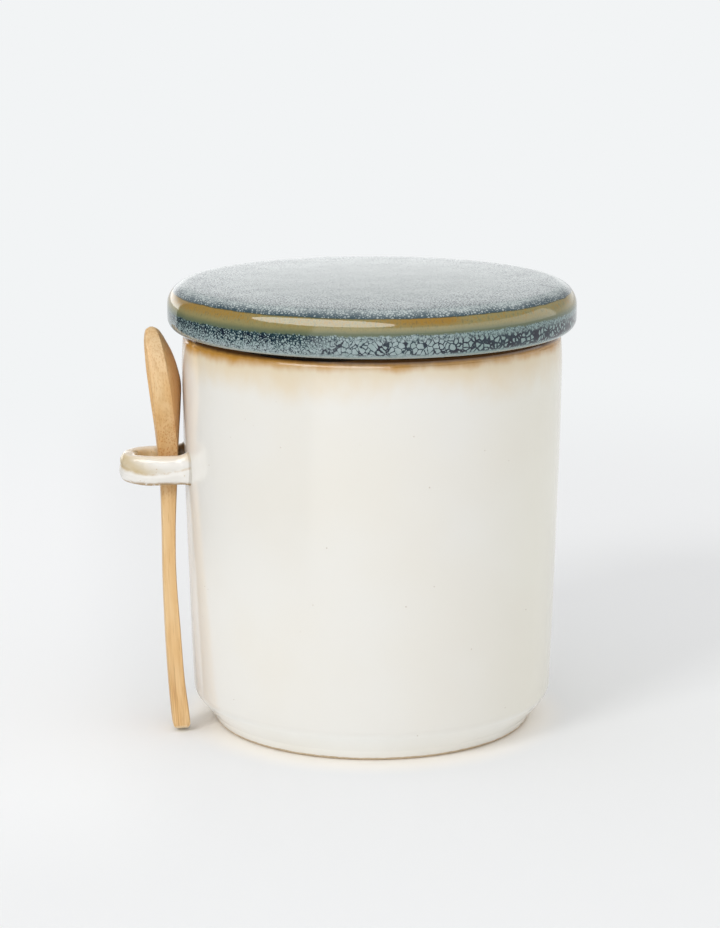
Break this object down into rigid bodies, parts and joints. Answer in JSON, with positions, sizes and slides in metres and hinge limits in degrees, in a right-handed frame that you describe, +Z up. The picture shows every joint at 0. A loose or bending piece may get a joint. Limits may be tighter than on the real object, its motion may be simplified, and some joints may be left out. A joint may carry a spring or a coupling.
{
  "type": "olive jar",
  "caption": "Straight-sided stoneware canister with an overhanging lid and a bamboo spoon that stands in a clay ring on its wall.",
  "frame": {"origin": "on the jar's axis, in the plane of its foot ring, which is the surface that the jar and the spoon stand on", "axes": "+Z up along the jar's axis; the spoon ring stands out along -X; +Y completes the frame, and the spoon leans towards +Y"},
  "size_m": [0.145, 0.129, 0.1419],
  "materials": {
    "jar_glaze": "glossy cream glaze that breaks to amber at the rim, bare clay on the foot ring",
    "ring_glaze": "glossy cream glaze, golden tan where it thins on the edges",
    "lid_glaze": "glossy reactive glaze, pale blue grey islands in a dark blue net, with an olive band on the edge",
    "seal_silicone": "translucent white silicone",
    "bamboo": "bare carved bamboo, satin, with fine straight grain"
  },
  "bodies": {
    "jar": {"jar_body": "jar_glaze", "spoon_ring": "ring_glaze"},
    "lid": {"lid": "lid_glaze", "lid_seal": "seal_silicone"},
    "spoon": {"spoon": "bamboo"}
  },
  "joints": [
    {"name": "lid_lift", "type": "slide", "parent": "jar", "child": "lid", "axis": [0, 0, 1], "range_m": [0, 0.15]},
    {"name": "spoon_lift", "type": "hinge", "parent": "jar", "child": "spoon", "pos_m": [-0.36483, -0.00739, 0.02813], "axis": [0, -0.9914, 0.131], "range_deg": [0, 18]}
  ]
}
